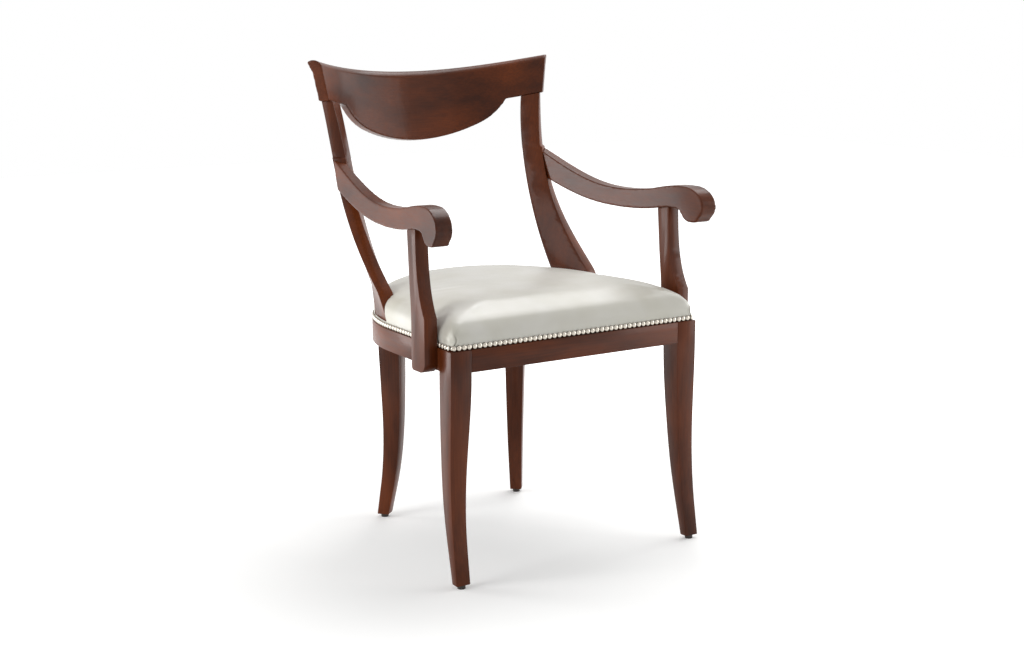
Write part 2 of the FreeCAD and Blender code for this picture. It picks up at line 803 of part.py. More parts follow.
def front_block():
    """Corner block behind the front leg, glued to the rails."""
    face = -front_depth + front_rail_thickness
    inner = front_half_width - leg_size
    outline = [
        Vector(inner - block_reach, face, 0),
        Vector(inner, face, 0),
        Vector(inner, leg_top_back, 0),
        Vector(side_x(rail_thickness, leg_top_back), leg_top_back, 0),
        Vector(side_x(rail_thickness, face + block_reach), face + block_reach, 0),
    ]
    return prism(Part.makePolygon(outline + outline[:1]), block_bottom(), block_bottom() + block_height)


def rear_block():
    """Curved corner block glued behind the joint of side rail and back rail."""
    band = half_ring(rail_thickness, rail_thickness + rear_block_depth, block_bottom(),
                     block_bottom() + block_height, leg_top_back)
    band = band.cut(beyond(joint_point + joint_along * (rear_block_length / 2), joint_along))
    return band.cut(beyond(joint_point - joint_along * (rear_block_length / 2), joint_along * -1.0))


# The domed seat above its upright nailed band: how far each level lies inside the seat's outline and
# how high it is above the rail, as a share of the crown
cover_levels = [(0.0, 0.15), (-1.5, 0.29), (3.0, 0.5), (20.0, 0.74), (56.0, 0.92), (104.0, 1.0)]
foam_levels = cover_levels[:1] + cover_levels[2:]


def dome(levels, inside, bottom):
    """Domed form of the seat, drawn in by one thickness, from one height up to the crown."""
    base = rebate_inset - cover_gap - leather + inside
    heights = [rail_top + share * cushion_crown - inside for level, share in levels]
    sections = []
    for (level, share), height in zip(levels, heights):
        sections.append(seat_outline(base + level, corner_radius + level * corner_growth, height))
    band = prism(seat_outline(base, corner_radius), bottom, heights[0])
    return band.fuse(Part.makeLoft(sections, True, True))


def stile_notch(gap):
    """Room for the stile's foot in the seat, open to the outside above the rail's rebate."""
    room = stile_blank(gap, beside=notch_reach)
    socket = Part.Face(stile_section(stile_stations[0], gap, beside=notch_reach))
    socket = socket.extrude(Vector(0, 0, -notch_depth))
    return room.fuse(socket)


def seat_cover():
    """Leather cover, drawn over the seat and nailed along the rail's rebate."""
    outer = dome(cover_levels, 0.0, rail_top + cover_gap)
    inner = dome(cover_levels, leather, rail_top - leather)
    cover = outer.cut(inner)
    notch = stile_notch(0.5)
    return cover.cut(notch).cut(mirrored(notch))


def seat_foam():
    """Foam pad on the webbing, under the leather."""
    level = rebate_top + 2 * web_thickness + cover_gap
    pad = dome(foam_levels, leather + 2 * cover_gap, rail_top)
    slab = prism(seat_outline(rebate_inset + leather, corner_radius), level, level + 80.0)
    pad = pad.common(slab)
    notch = stile_notch(0.8)
    return pad.cut(notch).cut(mirrored(notch))


def nail_trim():
    """Band of the decorative nails, on the ledge of the rebate all round the seat."""
    outer_inset = rebate_inset - cover_gap - leather - cover_gap - trim_thickness
    low = rail_top + 0.2
    outer = prism(seat_outline(outer_inset, corner_radius), low, low + trim_height)
    inner = prism(seat_outline(outer_inset + trim_thickness, corner_radius - trim_thickness),
                  low - 1.0, low + trim_height + 1.0)
    return outer.cut(inner)


def webbing(crosswise):
    """One layer of straps, tacked on top of the rails."""
    low = rebate_top + (0.0 if crosswise else web_thickness)
    edge = prism(seat_outline(rebate_inset + 6.0, corner_radius), low, low + web_thickness)
    notch = stile_notch(2.0)
    edge = edge.cut(notch).cut(mirrored(notch))
    span = 2 * seat_half_depth
    strap_shift = 4.0
    straps = []
    for index in range(web_count):
        place = (index - (web_count - 1) / 2) * web_spacing
        if crosswise:
            corner = Vector(-span, place - strap_shift - web_width / 2, low)
            strap = Part.makeBox(2 * span, web_width, web_thickness, corner)
        else:
            corner = Vector(place - web_width / 2, -span, low)
            strap = Part.makeBox(web_width, 2 * span, web_thickness, corner)
        straps.append(strap.common(edge))
    return Part.makeCompound(straps)


def dust_cover():
    """Black cloth stapled under the rails, cut round the legs."""
    low = rail_bottom - cloth_thickness
    cloth = prism(seat_outline(cloth_inset, corner_radius), low, rail_bottom)
    room = 1.0
    inner = front_half_width - leg_size - room
    front_leg_room = Part.makeBox(leg_size + 40, leg_size + 2 * room + 10, 4,
                                  Vector(inner, leg_top_front - 10, low - 1))
    rear_leg_room = Part.makeBox(leg_size + 2 * room, leg_size + 30, 4,
                                 Vector(-leg_size / 2 - room, -leg_size - room, low - 1))
    rear_leg_room.rotate(Vector(0, 0, 0), Vector(0, 0, 1), -rear_leg_turn)
    rear_leg_room.translate(joint_point)
    for room_box in (front_leg_room, rear_leg_room):
        cloth = cloth.cut(room_box).cut(mirrored(room_box))
    return cloth


def pair(shapes):
    return Part.makeCompound(shapes + [mirrored(shape) for shape in shapes])


nodes = {
    "front_rail": front_rail(),
    "back_rail": back_rail(),
    "crest_rail": crest_rail(),
    "seat_cover": seat_cover(),
    "seat_foam": seat_foam(),
    "nail_trim": nail_trim(),
    "webbing_crosswise": webbing(True),
    "webbing_lengthwise": webbing(False),
    "dust_cover": dust_cover(),
    "rail_tongues": pair(rail_tongues()),
    "stile_tongues": pair([stile_tongue()]),
    "crest_tongues": pair([crest_tongue()]),
    "arm_tongues": pair([arm_tongue()]),
}
two_sided = {
    "front_leg": front_leg(),
    "rear_leg": rear_leg(),
    "side_rail": side_rail(),
    "back_stile": back_stile(),
    "arm": arm(),
    "arm_support": arm_support(),
    "front_block": front_block(),
    "rear_block": rear_block(),
    "front_glide": glide(front_glide_place()),
    "rear_glide": glide(rear_glide_place()),
}
for name, shape in two_sided.items():
    nodes[name + "_right"] = shape
    nodes[name + "_left"] = mirrored(shape)

# The whole chair moves so that the origin is under the middle of its depth
whole = Part.makeCompound(list(nodes.values())).optimalBoundingBox(True, False)
shift = Vector(0, -(whole.YMin + whole.YMax) / 2, 0)

os.makedirs("parts", exist_ok=True)
for name, shape in nodes.items():
    shape.translate(shift)
    shape.exportStep("parts/" + name + ".step")
    box = shape.optimalBoundingBox(True, False)
    print(name, len(shape.Solids), shape.isValid(), round(shape.Volume),
          [round(value, 1) for value in (box.XMin, box.YMin, box.ZMin, box.XMax, box.YMax, box.ZMax)])
print("moved by", round(shift.y, 2))
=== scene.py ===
import bpy
import math
from mathutils import Matrix, Vector


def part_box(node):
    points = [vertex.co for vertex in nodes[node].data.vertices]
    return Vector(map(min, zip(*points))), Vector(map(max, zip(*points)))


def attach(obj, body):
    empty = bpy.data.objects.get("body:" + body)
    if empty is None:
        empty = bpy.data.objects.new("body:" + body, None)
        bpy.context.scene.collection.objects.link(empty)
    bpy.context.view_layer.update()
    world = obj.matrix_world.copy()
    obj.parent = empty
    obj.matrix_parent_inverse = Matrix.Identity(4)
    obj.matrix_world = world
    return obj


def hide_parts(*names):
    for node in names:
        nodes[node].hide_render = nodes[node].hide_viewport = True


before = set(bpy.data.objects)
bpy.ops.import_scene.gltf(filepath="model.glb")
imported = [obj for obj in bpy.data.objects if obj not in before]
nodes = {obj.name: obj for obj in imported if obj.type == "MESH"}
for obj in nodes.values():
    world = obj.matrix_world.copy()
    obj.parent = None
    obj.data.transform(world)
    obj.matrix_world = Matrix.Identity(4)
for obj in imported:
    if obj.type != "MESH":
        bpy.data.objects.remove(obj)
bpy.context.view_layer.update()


# ---- Front legs
# Solid beech, bandsawn to a sabre curve seen from the side and drawn in towards the foot seen from the
# front. The edges are sanded round by hand, then the leg is stained red-brown and sprayed with lacquer.
weld_distance = 0.00001
leg_edge_radius = 0.0013


def wake(piece):
    """Leaves one piece selected and active, in object mode."""
    bpy.ops.object.select_all(action="DESELECT")
    piece.select_set(True)
    bpy.context.view_layer.objects.active = piece


def worked_copy(name, new_name):
    """A copy of a part of the frame with its loose triangles joined, ready to be worked on."""
    piece = nodes[name].copy()
    piece.data = nodes[name].data.copy()
    piece.name = new_name
    piece.data.name = new_name
    bpy.context.scene.collection.objects.link(piece)
    wake(piece)
    bpy.ops.object.mode_set(mode="EDIT")
    bpy.ops.mesh.select_all(action="SELECT")
    bpy.ops.mesh.remove_doubles(threshold=weld_distance)
    bpy.ops.mesh.select_all(action="DESELECT")
    bpy.ops.object.mode_set(mode="OBJECT")
    piece.data.materials.clear()
    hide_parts(name)
    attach(piece, "root")
    return piece


def work(piece, kind, **settings):
    """Puts one modifier on a piece, with its settings, and applies it."""
    wake(piece)
    tool = piece.modifiers.new(kind.lower(), kind)
    for key, value in settings.items():
        setattr(tool, key, value)
    bpy.ops.object.modifier_apply(modifier=tool.name)


def sand_edges(piece, radius):
    """Rounds the sharp edges of a piece, as hand sanding does, and shades its faces smoothly."""
    flat_within = math.radians(0.6)
    sharper_than = math.radians(38.0)
    smooth_below = math.radians(32.0)
    wake(piece)
    bpy.ops.object.mode_set(mode="EDIT")
    bpy.ops.mesh.select_all(action="SELECT")
    bpy.ops.mesh.dissolve_limited(angle_limit=flat_within)
    bpy.ops.mesh.select_all(action="DESELECT")
    bpy.ops.object.mode_set(mode="OBJECT")
    work(piece, "BEVEL", width=radius, segments=2, limit_method="ANGLE", angle_limit=sharper_than)
    bpy.ops.object.shade_smooth_by_angle(angle=smooth_below)


def linear(code):
    """A colour written as sRGB hex, turned to the linear values that a shader takes."""
    made = []
    for start in (0, 2, 4):
        value = int(code[start:start + 2], 16) / 255
        made.append(value / 12.92 if value <= 0.04045 else ((value + 0.055) / 1.055) ** 2.4)
    return (made[0], made[1], made[2], 1.0)


def add(material, kind, values=(), links=(), **settings):
    """Adds one node to a material, with its settings, its input values and its input links."""
    made = material.node_tree.nodes.new(kind)
    for key, value in settings.items():
        setattr(made, key, value)
    for key, value in dict(values).items():
        made.inputs[key].default_value = value
    for key, source in dict(links).items():
        material.node_tree.links.new(source, made.inputs[key])
    return made


def new_material(name):
    """A new material and its shader."""
    material = bpy.data.materials.new(name)
    material.use_nodes = True
    return material, material.node_tree.nodes["Principled BSDF"]


def stained_beech(name, along):
    """Beech under a red-brown spray stain and a semi-gloss lacquer.

    The stain hides most of the figure: what shows is a slow cloudiness, a faint streak along the grain,
    and the lacquer's soft sheen. along is the axis that the grain runs on."""
    material, shader = new_material(name)
    place = add(material, "ShaderNodeTexCoord")
    # Clouds about 70 mm across and three times as long, streaks 3 mm wide and 90 mm long, and the flecks
    # of the wood's rays, which are 0.3 mm wide and are drawn 1 mm wide so that they show
    sizes = {"clouds": (0.07, 0.21), "streaks": (0.003, 0.09), "flecks": (0.001, 0.012)}
    pattern = {}
    for part, (across, long) in sizes.items():
        scale = [1.0 / across] * 3
        scale["XYZ".index(along)] = 1.0 / long
        grid = add(material, "ShaderNodeMapping", {"Scale": scale}, {"Vector": place.outputs["Object"]})
        pattern[part] = add(material, "ShaderNodeTexNoise",
                            {"Scale": 1.0, "Detail": 3.0, "Roughness": 0.55},
                            {"Vector": grid.outputs["Vector"]})
    stain = add(material, "ShaderNodeValToRGB", links={"Fac": pattern["clouds"].outputs["Fac"]})
    stain.color_ramp.elements[0].position = 0.3
    stain.color_ramp.elements[0].color = linear("3C1A0A")
    stain.color_ramp.elements[1].position = 0.72
    stain.color_ramp.elements[1].color = linear("6C3314")
    streak = add(material, "ShaderNodeMapRange",
                 {"From Min": 0.3, "From Max": 0.7, "To Min": 0.8, "To Max": 1.12},
                 {"Value": pattern["streaks"].outputs["Fac"]})
    fleck = add(material, "ShaderNodeMapRange",
                {"From Min": 0.62, "From Max": 0.74, "To Min": 1.0, "To Max": 0.84},
                {"Value": pattern["flecks"].outputs["Fac"]})
    depth = add(material, "ShaderNodeMath", links={0: streak.outputs[0], 1: fleck.outputs[0]},
                operation="MULTIPLY")
    tone = add(material, "ShaderNodeHueSaturation",
               links={"Color": stain.outputs["Color"], "Value": depth.outputs[0]})
    gloss = add(material, "ShaderNodeMapRange",
                {"From Min": 0.3, "From Max": 0.7, "To Min": 0.34, "To Max": 0.46},
                {"Value": pattern["streaks"].outputs["Fac"]})
    grain = add(material, "ShaderNodeBump", {"Strength": 0.12, "Distance": 0.0004},
                {"Height": pattern["streaks"].outputs["Fac"]})
    tree = material.node_tree
    tree.links.new(tone.outputs["Color"], shader.inputs["Base Color"])
    tree.links.new(gloss.outputs[0], shader.inputs["Roughness"])
    tree.links.new(grain.outputs["Normal"], shader.inputs["Normal"])
    shader.inputs["Specular IOR Level"].default_value = 0.12
    shader.inputs["Coat Weight"].default_value = 0.2
    shader.inputs["Coat Roughness"].default_value = 0.15
    shader.inputs["Coat IOR"].default_value = 1.4
    return material


beech_upright = stained_beech("stained_beech_upright", "Z")
beech_across = stained_beech("stained_beech_across", "X")
beech_lengthwise = stained_beech("stained_beech_lengthwise", "Y")

for side in ("right", "left"):
    leg = worked_copy("front_leg_" + side, "front_leg_" + side + "_turned")
    sand_edges(leg, leg_edge_radius)
    leg.data.materials.append(beech_upright)


# ---- Rear legs
# Solid beech, splayed back at the foot and turned to stand square to the bow of the rail. A square tenon
# at the top goes up through the joint of the rails.
for side in ("right", "left"):
    leg = worked_copy("rear_leg_" + side, "rear_leg_" + side + "_turned")
    sand_edges(leg, leg_edge_radius)
    leg.data.materials.append(beech_upright)


# ---- Seat rails
# A straight front rail, two side rails and a bowed back rail, sawn from thick beech plank, so the grain
# runs straight through the bow. A rebate along the top edge takes the leather and its nails.
rail_edge_radius = 0.0009

for name, wood in (("front_rail", beech_across), ("back_rail", beech_across),
                   ("side_rail_right", beech_lengthwise), ("side_rail_left", beech_lengthwise)):
    rail = worked_copy(name, name + "_sawn")
    sand_edges(rail, rail_edge_radius)
    rail.data.materials.append(wood)


# ---- Corner blocks
# Plain beech offcuts behind the legs, glued and screwed, left unstained because the seat hides them. Each
# is held by two countersunk steel screws, zinc plated, whose heads lie flush in its inner face.
block_names = ("front_block_right", "front_block_left", "rear_block_right", "rear_block_left")
seat_middle = Vector((0.0, -0.06, 0.41))
screw_head_radius = 0.0042
screw_neck_radius = 0.0021
screw_head_depth = 0.003
screw_sunk_by = 0.0012
screw_off_middle = 0.017
nearly_facing = 0.9


def plain_beech():
    """Unfinished beech: pale, even, with fine brown flecks and a sawn, dull surface."""
    material, shader = new_material("sawn_plain_beech")
    place = add(material, "ShaderNodeTexCoord")
    # Streaks 4 mm wide and 60 mm long
    grid = add(material, "ShaderNodeMapping", {"Scale": (1 / 0.06, 1 / 0.004, 1 / 0.004)},
               {"Vector": place.outputs["Object"]})
    streaks = add(material, "ShaderNodeTexNoise", {"Scale": 1.0, "Detail": 4.0},
                  {"Vector": grid.outputs["Vector"]})
    tone = add(material, "ShaderNodeValToRGB", links={"Fac": streaks.outputs["Fac"]})
    tone.color_ramp.elements[0].position = 0.3
    tone.color_ramp.elements[0].color = linear("B08A62")
    tone.color_ramp.elements[1].position = 0.7
    tone.color_ramp.elements[1].color = linear("D2B48C")
    rough = add(material, "ShaderNodeBump", {"Strength": 0.3, "Distance": 0.0003},
                {"Height": streaks.outputs["Fac"]})
    material.node_tree.links.new(tone.outputs["Color"], shader.inputs["Base Color"])
    material.node_tree.links.new(rough.outputs["Normal"], shader.inputs["Normal"])
    shader.inputs["Roughness"].default_value = 0.7
    return material


def zinc_plate():
    """Zinc plating on steel: a cold grey with faint cloudy spangles and a soft, slightly uneven shine."""
    material, shader = new_material("zinc_plated_steel")
    place = add(material, "ShaderNodeTexCoord")
    # Spangles of 2 mm
    spangle = add(material, "ShaderNodeTexNoise", {"Scale": 1 / 0.002, "Detail": 2.0},
                  {"Vector": place.outputs["Object"]})
    tone = add(material, "ShaderNodeValToRGB", links={"Fac": spangle.outputs["Fac"]})
    tone.color_ramp.elements[0].color = linear("9A9C9A")
    tone.color_ramp.elements[1].color = linear("C4C6C2")
    shine = add(material, "ShaderNodeMapRange", {"To Min": 0.28, "To Max": 0.45},
                {"Value": spangle.outputs["Fac"]})
    material.node_tree.links.new(tone.outputs["Color"], shader.inputs["Base Color"])
    material.node_tree.links.new(shine.outputs[0], shader.inputs["Roughness"])
    shader.inputs["Metallic"].default_value = 1.0
    return material


def inner_face(block):
    """Middle and direction of the upright face of a block that looks most towards the seat's middle."""
    corners = [Vector(corner) for corner in block.bound_box]
    inward = seat_middle - sum(corners, Vector()) / len(corners)
    inward.z = 0.0
    inward.normalize()
    looking = [face for face in block.data.polygons if face.normal.dot(inward) > nearly_facing]
    area = sum(face.area for face in looking)
    middle = sum((face.center * face.area for face in looking), Vector()) / area
    return middle, inward


beech_plain = plain_beech()
zinc = zinc_plate()
for name in block_names:
    nodes[name].data.materials.clear()
    nodes[name].data.materials.append(beech_plain)
    middle, inward = inner_face(nodes[name])
    beside = Vector((-inward.y, inward.x, 0.0))
    for side in (-1, 1):
        bpy.ops.object.select_all(action="DESELECT")
        bpy.ops.mesh.primitive_cone_add(vertices=20, radius1=screw_neck_radius,
                                        radius2=screw_head_radius, depth=screw_head_depth)
        screw = bpy.context.object
        screw.name = name + ("_screw_a" if side < 0 else "_screw_b")
        facing = inward.to_track_quat("Z", "Y").to_matrix().to_4x4()
        spot = middle + beside * (screw_off_middle * side) - inward * screw_sunk_by
        screw.data.transform(Matrix.Translation(spot) @ facing)
        screw.matrix_world = Matrix.Identity(4)
        screw.data.materials.append(zinc)
        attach(screw, "root")


# ---- Tongues
# Loose tongues glued into mortises in the joints of the rails, the stiles, the crest rail and the arms.
# They are cut from the same plain beech as the blocks and are out of sight.
for name in ("rail_tongues", "stile_tongues", "crest_tongues", "arm_tongues"):
    nodes[name].data.materials.clear()
    nodes[name].data.materials.append(beech_plain)


# ---- Back stiles
# Beech, shaped so that each one sweeps back and turns as it rises, to meet the crest rail flush. The
# outer face has a shallow sunk field above the arm.
stile_edge_radius = 0.0012

for side in ("right", "left"):
    stile = worked_copy("back_stile_" + side, "back_stile_" + side + "_shaped")
    sand_edges(stile, stile_edge_radius)
    stile.data.materials.append(beech_upright)


# ---- Crest rail
# One wide bowed board, laminated from beech, with a rolled top edge and a lobe that hangs between two
# level shoulders. It is the part of the back that the sitter leans on, so it is scraped most.
crest_passes = 6


def scrape(piece, passes):
    """Evens a curved piece's faces and rounds its edges, as a scraper does, in a number of passes.

    The faces are first made small and all of one size, with the sharp edges kept in place."""
    work(piece, "REMESH", mode="SHARP", octree_depth=8, scale=0.9, sharpness=1.0)
    work(piece, "SMOOTH", factor=0.5, iterations=passes)
    bpy.ops.object.shade_smooth()


crest = worked_copy("crest_rail", "crest_rail_shaped")
scrape(crest, crest_passes)
crest.data.materials.append(beech_across)


# ---- Arms
# Beech, bandsawn to a sweep that rolls over in a scroll at the front, tapered towards the stile, where
# it butts against the stile's outer face on a loose tongue.
arm_passes = 5

for side in ("right", "left"):
    arm = worked_copy("arm_" + side, "arm_" + side + "_shaped")
    scrape(arm, arm_passes)
    arm.data.materials.append(beech_lengthwise)


# ---- Arm supports
# Beech uprights, slim under the arm and swelling forward to a foot that laps over the side rail. A
# tenon at the top goes up into the arm, and the foot is glued to the rail's outer face.
support_edge_radius = 0.0012

for side in ("right", "left"):
    support = worked_copy("arm_support_" + side, "arm_support_" + side + "_shaped")
    sand_edges(support, support_edge_radius)
    support.data.materials.append(beech_upright)


# ---- Webbing
# Two layers of woven elastic straps, 50 mm wide, stretched over the rails and tacked down, to carry the
# foam. The ribs of the weave are 1.5 mm wide, 3 mm from one to the next, and are drawn as they are.

def woven_strap():
    """Jute and rubber webbing: brown, with a visible rib of weave across the strap and a dull face."""
    material, shader = new_material("woven_webbing")
    place = add(material, "ShaderNodeTexCoord")
    ribs = []
    for direction in ("X", "Y"):
        ribs.append(add(material, "ShaderNodeTexWave", {"Scale": 1 / 0.0095, "Distortion": 0.3},
                        {"Vector": place.outputs["Object"]}, bands_direction=direction))
    weave = add(material, "ShaderNodeMath", links={0: ribs[0].outputs["Fac"], 1: ribs[1].outputs["Fac"]},
                operation="MULTIPLY")
    tone = add(material, "ShaderNodeValToRGB", links={"Fac": weave.outputs[0]})
    tone.color_ramp.elements[0].color = linear("4E3D2A")
    tone.color_ramp.elements[1].color = linear("8A7250")
    relief = add(material, "ShaderNodeBump", {"Strength": 0.6, "Distance": 0.0006},
                 {"Height": weave.outputs[0]})
    material.node_tree.links.new(tone.outputs["Color"], shader.inputs["Base Color"])
    material.node_tree.links.new(relief.outputs["Normal"], shader.inputs["Normal"])
    shader.inputs["Roughness"].default_value = 0.85
    shader.inputs["Sheen Weight"].default_value = 0.2
    return material


webbing_cloth = woven_strap()
for name in ("webbing_crosswise", "webbing_lengthwise"):
    straps = worked_copy(name, name + "_woven")
    straps.data.materials.append(webbing_cloth)


# ---- Seat pad
# A foam block domed at the top and covered in off-white leather, pulled down hard all round, pleated at
# the two front corners and cut round the feet of the back stiles. It is blown up from a slightly
# smaller form by a cloth simulation, so that it swells between the places where it is held.
seat_front_half_width = 0.2784
seat_front = 0.231
seat_oval_half_width = 0.264
seat_oval_half_depth = 0.280
seat_back_shift = -0.072
seat_rail_top = 0.434
seat_corner_radius = 0.009
leather_inset = 0.0041
pad_points = 240
pad_face_size = 0.0052

# How far each level of the pad lies inside its foot, its height above the rail and its corner radius
pad_levels = (
    (0.0, 0.0006, 0.009),
    (0.0, 0.0110, 0.009),
    (-0.0008, 0.0200, 0.009),
    (0.0004, 0.0300, 0.011),
    (0.0040, 0.0400, 0.016),
    (0.0110, 0.0490, 0.022),
    (0.0230, 0.0570, 0.030),
    (0.0420, 0.0640, 0.040),
    (0.0680, 0.0695, 0.052),
    (0.1000, 0.0735, 0.066),
    (0.1380, 0.0755, 0.080),
)

# The lowest band of the leather is held fast, and so, but less, is the leather beside the stiles
held_up_to = 0.018
grip_fades_over = 0.012
stile_grip = 0.75
stile_inner_side = 0.188
stile_front = -0.065
stile_rear = 0.085
cloth_frames = 20
most_swell = 0.003

# The room cut out for the tongue of the rails leaves the leather hanging over it as a thin skirt
skirt_thickness = 0.0017
room_corner_radius = 0.0075
room_levels = (-0.004, 0.0157)
stile_gap = 0.0004
stile_room_pushes = (0.0, 0.007)

# Where the straight side of the seat touches the oval, and how much the side draws in on its way there
side_push = seat_front_half_width / seat_oval_half_width
front_push = -seat_front / seat_oval_half_depth
touch = math.atan2(front_push, side_push) + math.acos(1.0 / math.hypot(side_push, front_push))
side_draw = seat_oval_half_width / seat_oval_half_depth * math.tan(touch)


def seat_line(inset, radius, count):
    """Points round the seat at one inset, evenly spaced, from the middle of the front edge.

    The line is straight at the front, rounded at the front corners, straight along the sides and then
    follows the oval of the rails round the back."""
    corner_steps = 16
    oval_steps = 96
    a = seat_oval_half_width - inset
    b = seat_oval_half_depth - inset
    reach = math.hypot(a, side_draw * b)
    end = Vector((a * a / reach, side_draw * b * b / reach))
    front = -seat_front + inset
    corner = Vector((end.x + side_draw * (end.y - front), front))
    half_turn = (math.pi / 2 + math.atan(side_draw)) / 2
    cut = radius / math.tan(half_turn)
    up_side = Vector((-side_draw, 1.0)).normalized()
    first = corner - Vector((cut, 0.0))
    last = corner + up_side * cut
    middle = corner + ((first - corner) + (last - corner)).normalized() * (radius / math.sin(half_turn))
    half = [Vector((0.0, front)), first]
    start_angle = math.atan2(first.y - middle.y, first.x - middle.x)
    sweep = math.pi - 2 * half_turn
    for step in range(1, corner_steps + 1):
        angle = start_angle + sweep * step / corner_steps
        half.append(middle + Vector((math.cos(angle), math.sin(angle))) * radius)
    start = math.atan2(end.y / b, end.x / a)
    for step in range(oval_steps + 1):
        angle = start + (math.pi / 2 - start) * step / oval_steps
        half.append(Vector((a * math.cos(angle), b * math.sin(angle))))
    line = half + [Vector((-point.x, point.y)) for point in reversed(half[1:-1])]
    line.append(line[0])
    lengths = [0.0]
    for here, after in zip(line, line[1:]):
        lengths.append(lengths[-1] + (after - here).length)
    points = []
    place = 0
    for index in range(count):
        target = lengths[-1] * index / count
        while lengths[place + 1] < target:
            place += 1
        part = (target - lengths[place]) / max(lengths[place + 1] - lengths[place], 1e-9)
        point = line[place].lerp(line[place + 1], part)
        points.append((point.x, point.y + seat_back_shift))
    return points


def seat_ring(inset, radius, rise):
    """One ring of points round the seat, at a height above the rail's top."""
    return [(x, y, seat_rail_top + rise) for x, y in seat_line(inset, radius, pad_points)]


def shell_of_rings(name, rings):
    """A closed form from rings of equal counts, one above the other, with flat ends."""
    count = len(rings[0])
    points = [point for ring in rings for point in ring]
    faces = [tuple(reversed(range(count)))]
    for level in range(len(rings) - 1):
        for step in range(count):
            after = (step + 1) % count
            faces.append((level * count + step, level * count + after,
                          (level + 1) * count + after, (level + 1) * count + step))
    faces.append(tuple(range((len(rings) - 1) * count, len(rings) * count)))
    mesh = bpy.data.meshes.new(name)
    mesh.from_pydata(points, [], faces)
    mesh.update()
    piece = bpy.data.objects.new(name, mesh)
    bpy.context.scene.collection.objects.link(piece)
    return piece


def cut_away(piece, tool):
    """Cuts a tool's shape out of a piece, then throws the tool away."""
    work(piece, "BOOLEAN", operation="DIFFERENCE", solver="EXACT", object=tool)
    bpy.data.objects.remove(tool)


def leather():
    """Smooth upholstery leather, off-white, with a fine pebbled grain and a soft waxy sheen.

    The grain is about 1.2 mm coarse on the real hide and is drawn at 2 mm so that it shows. Its creases
    are 6 mm apart, and its tone changes slowly, over 90 mm."""
    material, shader = new_material("off_white_leather")
    place = add(material, "ShaderNodeTexCoord")
    clouds = add(material, "ShaderNodeTexNoise", {"Scale": 1 / 0.09, "Detail": 2.0},
                 {"Vector": place.outputs["Object"]})
    pebbles = add(material, "ShaderNodeTexVoronoi", {"Scale": 1 / 0.002},
                  {"Vector": place.outputs["Object"]}, feature="SMOOTH_F1")
    creases = add(material, "ShaderNodeTexNoise", {"Scale": 1 / 0.006, "Detail": 5.0, "Roughness": 0.6},
                  {"Vector": place.outputs["Object"]})
    tone = add(material, "ShaderNodeValToRGB", links={"Fac": clouds.outputs["Fac"]})
    tone.color_ramp.elements[0].position = 0.3
    tone.color_ramp.elements[0].color = linear("C6C3B6")
    tone.color_ramp.elements[1].position = 0.7
    tone.color_ramp.elements[1].color = linear("D4D2CA")
    height = add(material, "ShaderNodeMath", {1: 0.5},
                 {0: pebbles.outputs["Distance"], 2: creases.outputs["Fac"]}, operation="MULTIPLY_ADD")
    relief = add(material, "ShaderNodeBump", {"Strength": 0.10, "Distance": 0.0006},
                 {"Height": height.outputs[0]})
    gloss = add(material, "ShaderNodeMapRange",
                {"From Min": 0.3, "From Max": 0.7, "To Min": 0.36, "To Max": 0.46},
                {"Value": creases.outputs["Fac"]})
    tree = material.node_tree
    tree.links.new(tone.outputs["Color"], shader.inputs["Base Color"])
    tree.links.new(gloss.outputs[0], shader.inputs["Roughness"])
    tree.links.new(relief.outputs["Normal"], shader.inputs["Normal"])
    shader.inputs["IOR"].default_value = 1.5
    shader.inputs["Sheen Weight"].default_value = 0.1
    shader.inputs["Coat Weight"].default_value = 0.32
    shader.inputs["Coat Roughness"].default_value = 0.36
    return material


pad = shell_of_rings("seat_pad_leather",
                     [seat_ring(leather_inset + inset, radius, rise) for inset, rise, radius in pad_levels])
wake(pad)
pad.data.remesh_voxel_size = pad_face_size
bpy.ops.object.voxel_remesh()

held = pad.vertex_groups.new(name="held")
for vertex in pad.data.vertices:
    height = vertex.co.z - seat_rail_top
    grip = 1.0 if height < held_up_to else max(0.0, 1.0 - (height - held_up_to) / grip_fades_over)
    if abs(vertex.co.x) > stile_inner_side and stile_front < vertex.co.y < stile_rear:
        grip = max(grip, stile_grip)
    held.add([vertex.index], grip, "REPLACE")

before = [vertex.co.copy() for vertex in pad.data.vertices]
cloth = pad.modifiers.new("blown up", "CLOTH")
cloth.settings.quality = 5
cloth.settings.mass = 0.3
cloth.settings.tension_stiffness = 18
cloth.settings.compression_stiffness = 18
cloth.settings.bending_stiffness = 1.5
cloth.settings.use_pressure = True
cloth.settings.uniform_pressure_force = 2.0
cloth.settings.vertex_group_mass = "held"
cloth.settings.effector_weights.gravity = 0.0
cloth.collision_settings.use_collision = False
cloth.point_cache.frame_start = 1
cloth.point_cache.frame_end = cloth_frames
for number in range(1, cloth_frames + 1):
    bpy.context.scene.frame_set(number)
shaped = pad.evaluated_get(bpy.context.evaluated_depsgraph_get()).to_mesh()
after = [vertex.co.copy() for vertex in shaped.vertices]
pad.modifiers.remove(cloth)
bpy.context.scene.frame_set(1)
for vertex, old, new in zip(pad.data.vertices, before, after):
    move = new - old
    if move.length > most_swell:
        move = move.normalized() * most_swell
    vertex.co = old + move

work(pad, "SMOOTH", factor=0.5, iterations=9)
work(pad, "SUBSURF", levels=1, render_levels=1)

cut_away(pad, shell_of_rings("room for the rails",
                             [seat_ring(leather_inset + skirt_thickness, room_corner_radius, rise)
                              for rise in room_levels]))

